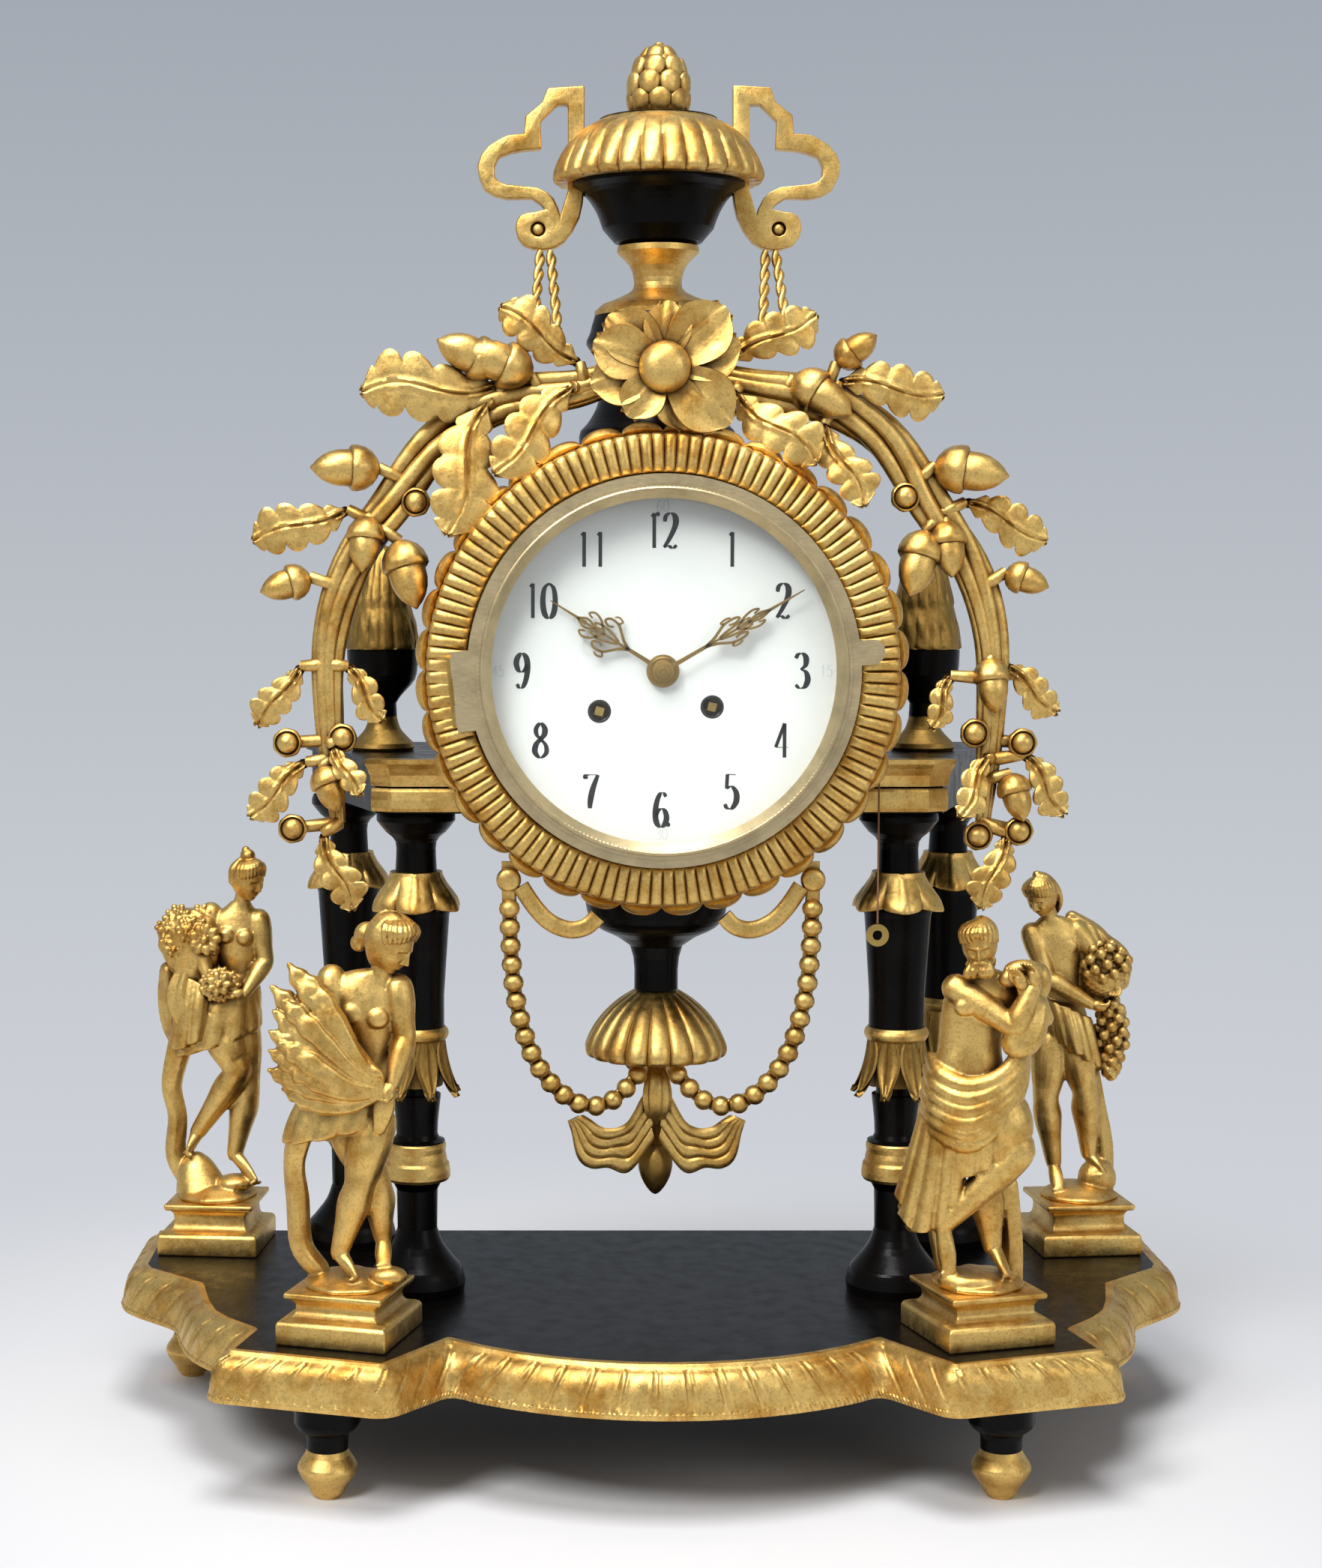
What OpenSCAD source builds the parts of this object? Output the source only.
// Portico clock: a drum case with an open-sided temple of four turned columns under it,
// hung with oak garlands and bead swags, on a shaped board with gilt figures of the seasons.
// Millimetres, +Z up, the front looks to -Y, the origin is at the bottom centre.

/* [Base] */
// Width of the base board across its straight sides
base_w = 454; // [448:1:464]
// How far the middle of the bowed front stands before the centre line
base_front = 96.4; // [94:0.2:98]
// How far the straight back edge lies behind the centre line
base_back = 110; // [109:1:120]
// Height of the feet under the board
foot_h = 44; // [42:1:50]
// Thickness of the base board
board_t = 20; // [18:1:24]
// How far the gilt edge moulding stands out from the board
moulding_out = 13.6; // [11:0.2:14]
// Width of the plinth of a front pedestal
pedestal_w = 47; // [45:0.5:48]
// Height of the front pedestals
pedestal_h = 21; // [20:0.5:24]
// How much higher the rear pedestals are
pedestal_rise = 2; // [0:0.5:4]

/* [Columns] */
// Height of the columns between the board and the entablature
col_h = 209.5; // [188:0.5:225]
// Half the distance between the front columns
col_front_x = 103.5; // [102:0.5:105]
// How far the front columns stand behind the centre line
col_front_y = 8; // [7:0.5:9]
// Half the distance between the rear columns
col_rear_x = 138; // [136:0.5:140]
// How far the rear columns stand behind the centre line
col_rear_y = 89.5; // [88:0.5:90]
// Radius of the thin core of a column inside its gilt sleeves
core_r = 8.45; // [7:0.05:8.5]

/* [Entablature] */
// Height of the black entablature blocks
ent_h = 19.5; // [18:0.5:22]
// Thickness of the plate on top of the entablature
plate_t = 3.3; // [2.5:0.1:5]
// How far the front of the entablature stands before the centre line
ent_front = 10; // [9.5:0.1:10.5]
// How far the gilt cornice stands out from the entablature
cornice_out = 9.5; // [7:0.1:9.6]

/* [Head] */
// Height of the dial centre over the entablature
head_rise = 38.2; // [36:0.1:41]
// Outer radius of the drum case
drum_r = 89; // [88:0.5:89.5]
// Wall of the drum case
drum_wall = 4; // [3:0.5:5]
// How far the drum reaches behind the centre line
drum_back = 56; // [55:0.5:57]
// Radius of the leaf ring to the tips of its scallops
leaf_ring_r = 102.7; // [101:0.1:103.5]
// Number of scallops round the leaf ring
scallops = 36; // [24:1:44]
// Outer radius of the reeded ring
reed_r = 97.4; // [96:0.1:98]
// Number of reeds round the reeded ring
reeds = 116; // [80:1:120]
// Height of one reed over the grooves beside it
reed_d = 1.6; // [0.8:0.1:2]
// Outer radius of the brass door round the dial
door_r = 80.3; // [80:0.1:81]
// How far the door is turned in its seat, in degrees
door_turn = -5.5; // [-6:0.5:-5]
// Radius of the enamel dial plate
dial_r = 76.5; // [75.8:0.1:76.8]

/* [Movement] */
// Radius of the movement's two brass plates
plate_r = 48; // [46:1:52]
// Radius of the spring barrels
barrel_r = 17; // [14:0.5:18]
// Side of the square end of a winding arbor
square_w = 3.5; // [3:0.1:4]
// Length of the hour hand from its centre
hour_len = 54.6; // [45:0.2:58]
// Length of the minute hand from its centre
minute_len = 66.6; // [60:0.2:69]
// Radius of the bell behind the movement
bell_r = 30; // [26:0.5:31]
// Length of the pendulum from its pin to the middle of the bob
pendulum_len = 219.4; // [214:0.2:226]
// Radius of the pendulum bob
bob_r = 14; // [11:0.5:16]

/* [Ornament] */
// Radius of the gadrooned cover of the top urn
cover_r = 45.1; // [42:0.1:46]
// Number of gadroons round the cover
gadroons = 28; // [20:1:32]
// Thickness of the two urn handles
handle_t = 7; // [5:0.5:9]
// Radius of the fluted bell under the drum
cup_r = 30.4; // [28:0.2:32]
// Number of flutes round that bell
flutes = 18; // [14:1:24]
// Radius of the beads of the swags
bead_r = 3.6; // [3:0.1:3.8]
// Thickness of the bow under the drum
bow_t = 5; // [4:0.5:6]
// Distance from the dial centre down to the pull cord's ring
cord_drop = 106.1; // [95:0.1:115]

/* [Hidden] */

GILT = "#c9982f";
EBONY = "#17130f";
BRASS = "#a58a4c";
STEEL = "#8c9196";

seat = 0.05;     // gap where one piece is fitted in or on another
near = 0.3;      // gap where a piece only lies against another
board_top = foot_h + board_t;
ent_z = board_top + col_h;
ent_top = ent_z + ent_h + plate_t;
head_z = ent_top + head_rise;
drum_front = -22;
ring_y = -27;        // front of the leaf ring, back of the reeded ring
reed_front = -40;    // crests of the reeds
head_bore = 81.5;    // bore of both rings and of the drum's front
urn_y = 22;          // axis of the socle and the top urn
drop_y = 14;         // axis of the pendant
socle_z = head_z + drum_r;
side_urn_y = 52;

// Smooth curve through the points of p, with n steps between two points
function blend(a, b, c, d, t) =
    b + t / 2 * ((c - a) + t * ((2 * a - 5 * b + 4 * c - d) + t * (3 * b - a - 3 * c + d)));
function curve(p, n = 3) = let (m = len(p) - 1)
    [for (i = [0:m - 1]) for (k = [0:n - 1])
        blend(p[max(i - 1, 0)], p[i], p[i + 1], p[min(i + 2, m)], k / n), p[m]];

function unit(v) = v / max(norm(v), 1e-6);
function flip_x(p) = [for (i = [len(p) - 1:-1:0]) [-p[i][0], p[i][1], p[i][2]]];
function xy(p) = [for (q = p) [q[0], q[1]]];
function lift(p, z) = [for (q = p) [q[0], q[1] + z]];
function mix(a, b, t) = a + (b - a) * t;
// Direction of a path of points in space at each point
function dirs(p) = let (m = len(p) - 1)
    [for (i = [0:m]) unit(p[min(i + 1, m)] - p[max(i - 1, 0)])];

// Closed skin over rings of points, each ring counter-clockwise seen from ahead
module loft(rings) {
    n = len(rings[0]);
    m = len(rings);
    sides = [for (i = [0:m - 2]) for (j = [0:n - 1])
        let (a = i * n + j, b = i * n + (j + 1) % n)
        each [[a, b + n, b], [a, a + n, b + n]]];
    caps = [[for (j = [0:n - 1]) j], [for (j = [0:n - 1]) m * n - 1 - j]];
    polyhedron(points = [for (r = rings) each r], faces = concat(sides, caps));
}

// Round or oval limb along p; r holds a radius or [across, deep] for each point
module limb(p, r, n = 6, ref = [0, 1, 0]) {
    d = dirs(p);
    loft([for (i = [0:len(p) - 1])
        let (u = unit(cross(ref, d[i])), v = cross(d[i], u), q = r[i])
        [for (j = [0:n - 1]) let (a = 360 * (j + 0.5) / n)
            p[i] + u * (is_list(q) ? q[0] : q) * cos(a) + v * (is_list(q) ? q[1] : q) * sin(a)]]);
}

// Upright body from level sections [x, y, z, half width, half depth]
module trunk(s, n = 8) {
    loft([for (q = s) [for (j = [0:n - 1]) let (a = 360 * (j + 0.5) / n)
        [q[0] + q[3] * cos(a), q[1] + q[4] * sin(a), q[2]]]]);
}

module ball(p, r, n = 8) {
    translate(p) sphere(r, $fn = n);
}

module bridge(a, b, ra, rb, n = 4) {
    hull() {
        ball(a, ra, n);
        ball(b, rb, n);
    }
}

module turned(p) {
    rotate_extrude($fn = 72) polygon(p);
}

// Turned solid from its outer profile of [radius, z] alone
module turned_solid(p) {
    turned(concat([[0, p[0][1]]], p, [[0, p[len(p) - 1][1]]]));
}

// Lathe axis laid along Y at a height, with profile [radius, y]
module turned_y(p, x = 0, z = head_z) {
    translate([x, 0, z]) rotate([-90, 0, 0]) turned(p);
}

module disc_y(r, y0, y1, x = 0, z = 0, fn = 64) {
    translate([x, y0, head_z + z]) rotate([-90, 0, 0]) cylinder(r = r, h = y1 - y0, $fn = fn);
}

module at_each(places) {
    for (q = places) translate([q[0], q[1], 0]) children();
}

// Base board and its edge

// Front and sides of the board: x, y and the share of the moulding's projection there
bow_r = 129;
half_w = base_w / 2;
bow_end = half_w - 139;
function bow_y(x) = bow_r - base_front - sqrt(bow_r * bow_r - x * x);
bow_half = [for (i = [0:5]) let (x = bow_end * i / 6) [x, bow_y(x), 1]];
side_half = [[bow_end, bow_y(bow_end), 0.85], [half_w - 113.6, -98, 0.62],
    [half_w - 53.7, -78, 0.85], [half_w - 60.3, -50.9, 0.8]];
swell_half = curve([[half_w - 58, -47.6, 0.9], [half_w - 39.4, -23.4, 1],
    [half_w - 29, 18.6, 1]], 3);
end_half = [[half_w - 2.6, 43.6, 0.9], [half_w, 50, 1], [half_w, base_back, 1]];
edge_half = concat(bow_half, side_half, swell_half, end_half);
edge = concat(flip_x([for (i = [1:len(edge_half) - 1]) edge_half[i]]), edge_half);

function heading(p, i) = unit([p[i + 1][0] - p[i][0], p[i + 1][1] - p[i][1]]);
function right_of(d) = [d[1], -d[0]];
// Mitre direction at point i of a path, one unit out from both of its sides
function mitre(p, i) = let (m = len(p) - 1,
    a = right_of(heading(p, max(i - 1, 0))), b = right_of(heading(p, min(i, m - 1))))
    (a + b) / (1 + a * b);

// Moulding of the profile [out, z] run along the path, standing out to its right
module run_moulding(p, profile) {
    loft([for (i = [0:len(p) - 1]) let (m = mitre(p, i))
        [for (q = profile) [p[i][0] + m[0] * q[0] * p[i][2], p[i][1] + m[1] * q[0] * p[i][2], q[1]]]]);
}

module base_board() {
    color(EBONY) translate([0, 0, foot_h]) linear_extrude(board_t) polygon(xy(edge));
}

// Flat fillet, swelling ovolo, quirk and flared foot of the edge moulding
module base_moulding() {
    o = moulding_out;
    profile = [[0, board_top], [o - 10.4, board_top], [o - 10, board_top - 1.5],
        [o - 8.1, board_top - 2], [o - 4.4, board_top - 5.2], [o - 2.6, board_top - 10],
        [o - 3, foot_h + 4.6], [o - 0.6, foot_h + 3.4], [o, foot_h],
        [0, foot_h]];
    color(GILT) run_moulding(edge, profile);
}

foot_places = [[-half_w + 90, -69], [half_w - 90, -69],
    [-half_w + 14, base_back - 17], [half_w - 14, base_back - 17]];
toupie_h = 19.9;

module foot_necks() {
    color(EBONY) at_each(foot_places)
        turned_solid(concat([[8.4, toupie_h], [8.5, foot_h - 19.3]],
            curve([[9.1, foot_h - 17.3], [12.2, foot_h - 14.9], [13.6, foot_h - 12.5]]),
            [[13.6, foot_h - 9.3], [14, foot_h]]));
}

module foot_toupies() {
    color(GILT) at_each(foot_places)
        turned_solid(concat([[5.3, 0]],
            curve([[7.2, 2.4], [8.4, 5.2], [10.5, 8], [12.1, 11.2], [12, 13.6], [9.4, 17.6]]),
            [[8.4, toupie_h]]));
}

// Square pedestal: one profile run both ways and mitred at the corners
module pedestal(w, h) {
    a = w / 2;
    half = concat([[a, 0], [a, 8]], curve([[a - 0.4, 9.4], [a - 2.4, 10.5]], 2),
        curve([[a - 4.4, 10.9], [a - 6, 12.6], [a - 6.3, h - 5.6], [a - 5, h - 3.2]], 3),
        [[a - 2.6, h - 2.3], [a - 2.5, h]]);
    side = concat(half, [for (i = [len(half) - 1:-1:0]) [-half[i][0], half[i][1]]]);
    intersection() {
        rotate([90, 0, 0]) translate([0, 0, -a]) linear_extrude(w) polygon(side);
        rotate([90, 0, 90]) translate([0, 0, -a]) linear_extrude(w) polygon(side);
    }
}

// Where a pedestal stands and how far it is turned: x, y, angle
front_stand = [half_w - 98.6, -58.4, 16.5];
rear_stand = [half_w - 27.3, base_back - 25.5, 5.7];
rear_h = pedestal_h + pedestal_rise;

module on_stand(s, side, z) {
    translate([side * s[0], s[1], z]) rotate(side * s[2]) children();
}

module pedestals() {
    color(GILT) for (side = [-1, 1]) {
        on_stand(front_stand, side, board_top) pedestal(pedestal_w, pedestal_h);
        on_stand(rear_stand, side, board_top) pedestal(pedestal_w - 1, rear_h);
    }
}

// Columns

// The lower turnings keep their height over the board, the capital its distance from the top
col_low = concat([[20.2, 0]], curve([[20.9, 4.3], [19.3, 10.2], [16.9, 13.2], [11.3, 20.6],
    [8.6, 28]]), [[8.9, 44.9], [10.9, 48.6], [10.9, 49.2]]);
col_waist = concat([[core_r, 49.2], [core_r, 65.6], [12, 65.6]],
    curve([[12, 66.3], [8.9, 69.2], [10.3, 85.4]]), [[10.3, 86.4], [core_r, 86.4]]);
// The shaft fills what is left between them
shaft_foot = 116;
shaft_top = col_h - 58.5;
col_shaft = concat([[core_r, shaft_foot], [11.9, shaft_foot]],
    curve([[11.9, mix(shaft_foot, shaft_top, 0.377)], [13.3, shaft_top]]));
capital = concat([[14.2, -45.4], [14.7, -43.3], [14.7, -42.5], [core_r, -42.5]],
    [[core_r, -26.2], [8.9, -26.2]], curve([[8.7, -22.3], [8.8, -13.6], [12.9, -9.3]]),
    [[14.7, -7.1], [16.9, -4.2], [16.9, -2.1], [16.2, 0]]);

module column(x, y) {
    color(EBONY) translate([x, y, board_top])
        turned_solid(concat(col_low, col_waist, col_shaft, lift(capital, col_h)));
}

module column_front_left() { column(-col_front_x, col_front_y); }
module column_front_right() { column(col_front_x, col_front_y); }
module column_rear_left() { column(-col_rear_x, col_rear_y); }
module column_rear_right() { column(col_rear_x, col_rear_y); }

column_places = [[-col_front_x, col_front_y], [col_front_x, col_front_y],
    [-col_rear_x, col_rear_y], [col_rear_x, col_rear_y]];
sleeve_r = core_r + seat;

// Plan with rounded lobes between an inner and an outer radius
function lobes(n, inner, outer, sharp = 0.7, steps = 6) =
    [for (i = [0:n * steps - 1]) let (a = 360 * (i + 0.5) / (n * steps), u = abs(sin(a * n / 2)))
        let (r = mix(inner, outer, pow(u, sharp))) [r * cos(a), r * sin(a)]];

// Leaf collar under each capital: a flared skirt with six soft points
module column_leaf_collars() {
    color(GILT) at_each(column_places) translate([0, 0, ent_z - 42.5 + seat]) intersection() {
        turned([[sleeve_r, 0], [14.4, 0], [18.2, 0.6], [20.9, 0.2], [20.9, 1.4], [18.3, 5.7],
            [15, 9], [12.6, 11.5], [11.9, 13.4], [11, 15], [11, 16.2], [sleeve_r, 16.2]]);
        linear_extrude(20) polygon(lobes(6, 16.2, 21.2));
    }
}

// Skirt of eight hanging petals round the shaft
module column_petal_skirts() {
    color(GILT) at_each(column_places) translate([0, 0, board_top + 86.4 + seat])
        intersection() {
            turned(concat([[sleeve_r, 0], [15, 1.4], [18, 0.6], [20.4, 0]],
                curve([[20.7, 1], [19.4, 5], [16.4, 11.5], [13.2, 18], [11.6, 23.7]]),
                [[sleeve_r, 23.7]]));
            linear_extrude(30) polygon(lobes(8, 12.6, 21, 0.45));
        }
}

// Turned gilt rings of the columns: a torus over the petals and a stepped ring below
module column_rings() {
    torus_z = 110.2;
    color(GILT) at_each(column_places) translate([0, 0, board_top]) {
        turned(concat([[sleeve_r, torus_z], [12.4, torus_z]],
            curve([[13.4, torus_z + 1.2], [13.9, torus_z + 2.9], [13.4, torus_z + 4.6]]),
            [[12.4, 116 - seat], [sleeve_r, 116 - seat]]));
        turned([[sleeve_r, 49.2 + seat], [13.6, 49.2 + seat], [14.4, 50.6], [14.4, 52.8],
            [13.9, 56.2], [13, 57.4], [12.8, 59.4], [12.3, 61.4], [12.6, 63.6], [12.5, 64.8],
            [12, 65.6 - seat], [sleeve_r, 65.6 - seat]]);
    }
}

// Entablature and side urns

wing_front = col_front_x + 8.5;
wing_half = [[wing_front, -ent_front], [col_front_x + 16.5, -ent_front + 4],
    [col_rear_x + 18, col_rear_y + 16.5]];
gap_back = 72;   // the pendulum swings between the drum and the rear bridge
gap_half = 66;

function wing_plan(grow) = [for (i = [0:2]) let (q = wing_half[i])
    [q[0] + (i == 0 ? 0 : grow), q[1] + (i == 2 ? grow : 0)]];
function whole_plan(grow) = let (h = wing_plan(grow))
    concat(h, [for (i = [2:-1:0]) [-h[i][0], h[i][1]]]);

module drum_room(r = drum_r + near, y1 = drum_back + near) {
    disc_y(r, -60, y1);
}

module entablature() {
    color(EBONY) difference() {
        union() {
            translate([0, 0, ent_z]) linear_extrude(ent_h) polygon(whole_plan(0));
            translate([0, 0, ent_z + ent_h]) linear_extrude(plate_t) polygon(whole_plan(3));
        }
        translate([-gap_half, -20, ent_z - 1]) cube([2 * gap_half, gap_back + 20, ent_h + 10]);
        drum_room();
    }
}

// Gilt band and cornice on the front of each wing, turned back at the outer end
module entablature_mouldings() {
    z = ent_z;
    top = ent_top + 0.6;
    o = cornice_out;
    band = [[0, z + 10.9], [3, z + 10.9], [3.8, z + 9.5], [4.2, z + 6], [4, z + 2.5],
        [3.2, z + 1], [0, z + 1]];
    cornice = [[0, top], [o, top], [o - 0.2, top - 1.9], [o - 2, top - 3.9],
        [o - 4.3, top - 6.9], [o - 5.3, top - 9.9], [o - 5.5, z + 11.8], [0, z + 11.8]];
    path = [[50, -ent_front, 1], [wing_front, -ent_front, 1],
        [col_front_x + 16.4, -ent_front + 3.95, 1]];
    color(GILT) difference() {
        for (p = [path, flip_x(path)]) for (profile = [band, cornice]) run_moulding(p, profile);
        drum_room();
        translate([0, 0, ent_z + ent_h]) linear_extrude(plate_t + 1) polygon(whole_plan(3.05));
    }
}

side_urn_x = col_front_x + 16.5;
side_urns = [[-side_urn_x, side_urn_y], [side_urn_x, side_urn_y]];

module side_urn_feet() {
    color(GILT) at_each(side_urns) translate([0, 0, ent_top])
        turned_solid(concat([[13.2, 0], [14.2, 1.4]], curve([[13.6, 3.4], [12.1, 4.8], [8, 9.4],
            [6.3, 14.6]]), [[6.3, 15.2]]));
}

module side_urn_bodies() {
    color(EBONY) at_each(side_urns) translate([0, 0, ent_top + seat])
        turned_solid(concat([[6.3, 15.2]], curve([[6, 20.9], [8.3, 24.3], [14.3, 31.2],
            [15.6, 38.1]]), [[15.8, 44.5]]));
}

module side_urn_covers() {
    color(GILT) at_each(side_urns) translate([0, 0, ent_top + 2 * seat])
        turned_solid(concat([[16.6, 44.5], [16.8, 46]], curve([[15.6, 54.1], [13.3, 65.5],
            [10.6, 76.9], [5.1, 88.3]]), [[2.4, 90.5]]));
}

// Drum case and its two front rings

module drum_case() {
    inner = drum_r - drum_wall;
    color(EBONY) difference() {
        turned_y([[head_bore, drum_front], [drum_r, drum_front], [drum_r, drum_back],
            [inner, drum_back], [inner, drum_front + 2], [head_bore, drum_front + 2]]);
        // slot in the side for the repeat lever
        translate([inner - 6, lever_y - 1.6, head_z - 34]) cube([16, lever_t + 3.2, 30]);
    }
}

module leaf_ring() {
    round_r = 9;
    w = leaf_ring_r * sin(180 / scallops) * 0.96;
    plan = [for (k = [0:scallops - 1]) for (u = [-1:0.4:0.6])
        let (r = leaf_ring_r - round_r + sqrt(max(round_r * round_r - u * u * w * w, 4)),
            a = (k + u / 2) * 360 / scallops) [r * cos(a), r * sin(a)]];
    color(GILT) translate([0, drum_front, head_z]) rotate([90, 0, 0])
        linear_extrude(drum_front - ring_y) difference() {
            polygon(plan);
            circle(head_bore, $fn = 96);
        }
}

// Ring of radial reeds, with the seat of the hinge leaf let into its left side
module reeded_ring() {
    n = 2 * reeds;
    back = ring_y - seat;
    inner = head_bore + 0.3;
    section = [for (i = [0:n]) let (a = 360 * i / n, crest = i % 2 == 0 ? 0 : reed_d)
        [for (q = [[inner, back], [reed_r, back], [reed_r, reed_front + 2 + crest],
            [inner + 1, reed_front + crest]])
            [q[0] * cos(a), q[1], head_z + q[0] * sin(a)]]];
    points = [for (i = [0:n - 1]) each section[i]];
    faces = [for (i = [0:n - 1]) for (j = [0:3])
        let (a = i * 4 + j, b = i * 4 + (j + 1) % 4, c = (a + 4) % (4 * n), d = (b + 4) % (4 * n))
        each [[a, b, d], [a, d, c]]];
    color(GILT) difference() {
        polyhedron(points = points, faces = faces);
        door_frame() translate([hinge_x - leaf_w / 2 - near, leaf_back + seat,
            -leaf_l / 2 - near]) mirror([0, 1, 0]) cube([leaf_w + 2 * near, 20, leaf_l + 2 * near]);
    }
}

// Socle, top urn and pendant

module socle() {
    color(EBONY) difference() {
        translate([0, urn_y, socle_z]) turned_solid(concat([[33.6, -12], [33.6, 9.4]],
            curve([[33, 11.9], [29, 16.5], [25.4, 24.1], [24, 34.5], [26, 42.5], [30.5, 48.5],
                [29, 53.3], [28.2, 56.5]]), [[27, 60.5]]));
        drum_room();
    }
}

module urn_foot() {
    color(GILT) translate([0, urn_y, socle_z]) turned_solid(concat([[27, 60.5 + seat], [27, 62.5]],
        curve([[23.7, 65.4], [12.7, 70.2], [10.2, 74.3], [12, 81.5], [17.5, 87.2]]),
        [[17.4, 89.7]]));
}

// The bars of both handles pass through the rim of the cover and the lip of the urn
module handle_slots() {
    for (side = [-1, 1]) translate([side * 35 - 3.9, urn_y - handle_t / 2 - near, socle_z + 105])
        cube([7.8, handle_t + 2 * near, 40]);
}

module urn_body() {
    color(EBONY) difference() {
        translate([0, urn_y, socle_z + seat]) turned_solid(concat([[14.6, 89.7], [18.7, 91.5]],
            curve([[23.7, 97.2], [26.3, 104.2], [31, 111.1], [36.8, 114.5]]), [[36.8, 115.8]]));
        handle_slots();
    }
}

// Cover with round gadroons, flat black cap on it
module urn_cover() {
    z = socle_z + 115.8 + 2 * seat;
    r = cover_r;
    profile = [[r - 4.2, 0], [r, 1.6], [r - 1, 6.8], [r - 4.8, 14.8], [r - 12.4, 22.9],
        [r - 20, 27]];
    n = 2 * gadroons;
    color(GILT) difference() {
        loft([for (q = profile) [for (j = [0:n - 1])
            let (a = 360 * (j + 0.5) / n, s = q[0] - (j % 2 == 0 ? 0 : 0.035 * q[0]))
            [s * cos(a), urn_y + s * sin(a), z + q[1]]]]);
        handle_slots();
    }
}

module pine_cone() {
    z = socle_z + 142.8 + 3 * seat;
    n = 16;
    rows = [[13.2, 2.2, 0.05, 0], [14.2, 5, 0.1, 0], [12.4, 8, 0.02, 0], [14.4, 11, 0.1, 22.5],
        [12.8, 14.4, 0.02, 22.5], [13.4, 17.8, 0.1, 0], [11.6, 21.2, 0.03, 0],
        [11.4, 24.6, 0.12, 22.5], [9.2, 28.6, 0.05, 22.5], [5.4, 32.4, 0, 0], [2.4, 33.5, 0, 0]];
    color(GILT) {
        translate([0, urn_y, z]) cylinder(r = 12, h = 2.3, $fn = 48);
        loft([for (q = rows) [for (j = [0:n - 1]) let (a = 360 * j / n,
            s = q[0] * (1 + q[2] * cos(8 * (a - q[3]))))
            [s * cos(a), urn_y + s * sin(a), z + q[1]]]]);
    }
}

// Greek-key handle with a scroll at its foot, drawn for the right side
handle_outer = concat([[31.4, 157], [47.2, 156.1], [49.5, 150.1], [56.6, 144.4], [57.2, 136.9]],
    curve([[64.2, 136.4], [72.4, 131.8], [77, 123.7], [73.8, 113.4], [64.5, 109.7], [53.9, 109.9],
        [48.1, 105.3]], 2), curve([[52.8, 104.2], [58.7, 103], [60.8, 97.2], [57.6, 90.3],
        [48.3, 88.2], [40.1, 91.5], [33.5, 101.9], [31.7, 112.2]], 2));
handle_inner = concat([[38.5, 113.4]], curve([[41.7, 103], [44.6, 109.9], [51.6, 114.5],
    [64.4, 115.7], [69.6, 119.1], [67.8, 127.2], [57.3, 130]], 2),
    [[49.7, 130.6], [50.2, 142.1], [43.1, 149], [38.5, 149]]);

module urn_handle(side) {
    color(GILT) translate([0, urn_y + handle_t / 2, socle_z]) rotate([90, 0, 0])
        linear_extrude(handle_t) mirror([side < 0 ? 1 : 0, 0]) difference() {
            polygon(handle_outer);
            polygon(handle_inner);
            translate([51.2, 97]) circle(3, $fn = 24);
        }
}

module urn_handle_left() { urn_handle(-1); }
module urn_handle_right() { urn_handle(1); }

drop_z = head_z;
module pendant_neck() {
    color(EBONY) difference() {
        translate([0, drop_y, drop_z]) turned_solid(concat([[9.4, -139], [9.4, -130.6],
            [9.9, -125.4]], curve([[11.4, -120.2], [17.5, -116], [25.8, -111.8], [29.9, -105.6],
            [31, -94.5]]), [[31, -60]]));
        drum_room();
    }
}

// Fluted cup that hangs mouth down
module pendant_cup() {
    z = drop_z - 139.1 - seat;
    r = cup_r;
    n = 2 * flutes;
    rows = [[r - 6.6, -29.6], [r - 0.6, -28.1], [r, -24.9], [r - 3.4, -17.4],
        [r - 8.9, -9.2], [r - 14.4, -4], [r - 20.6, -0.3]];
    color(GILT) loft([for (q = rows) [for (j = [0:n - 1])
        let (a = 360 * j / n, s = q[0] * (j % 2 == 0 ? 1.03 : 0.95))
        [s * cos(a), drop_y + s * sin(a), z + q[1]]]]);
}

// Hanging ribbon of the bow, drawn for the right side, with its stem
ribbon = concat([[0, -172], [5.3, -182.6]], curve([[5.3, -182.6], [11.4, -198.2], [19.6, -205.5],
    [27.8, -204.9], [32, -198.2], [33, -194.5]], 2), [[37.6, -195]],
    curve([[37.6, -201], [36.1, -207.6], [27.8, -216.9], [19.6, -215.9], [13.4, -218],
        [7.3, -212.8], [1.6, -204.4]], 2), [[0, -204.4]]);

module bow_ribbon() {
    color(GILT) {
        translate([0, drop_y, drop_z]) turned_solid(concat([[4.2, -207], [6, -203]],
            curve([[6.2, -196], [4.4, -184], [4.8, -174]]), [[6, -169.1]]));
        for (side = [0, 1]) mirror([side, 0, 0]) translate([0, drop_y - 5, drop_z])
            rotate([90, 0, 0]) linear_extrude(bow_t) polygon(ribbon);
        translate([0, drop_y - 5 - bow_t, drop_z - 178]) rotate([-90, 0, 0])
            cylinder(r = 5.2, h = bow_t + 4, $fn = 32);
    }
}

module bud_drop() {
    color(GILT) translate([0, drop_y, drop_z - seat]) turned_solid(curve([[0.5, -229.7],
        [2.1, -228.4], [5.1, -224.3], [7.5, -218], [7, -211.7], [4.2, -207]]));
}

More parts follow.
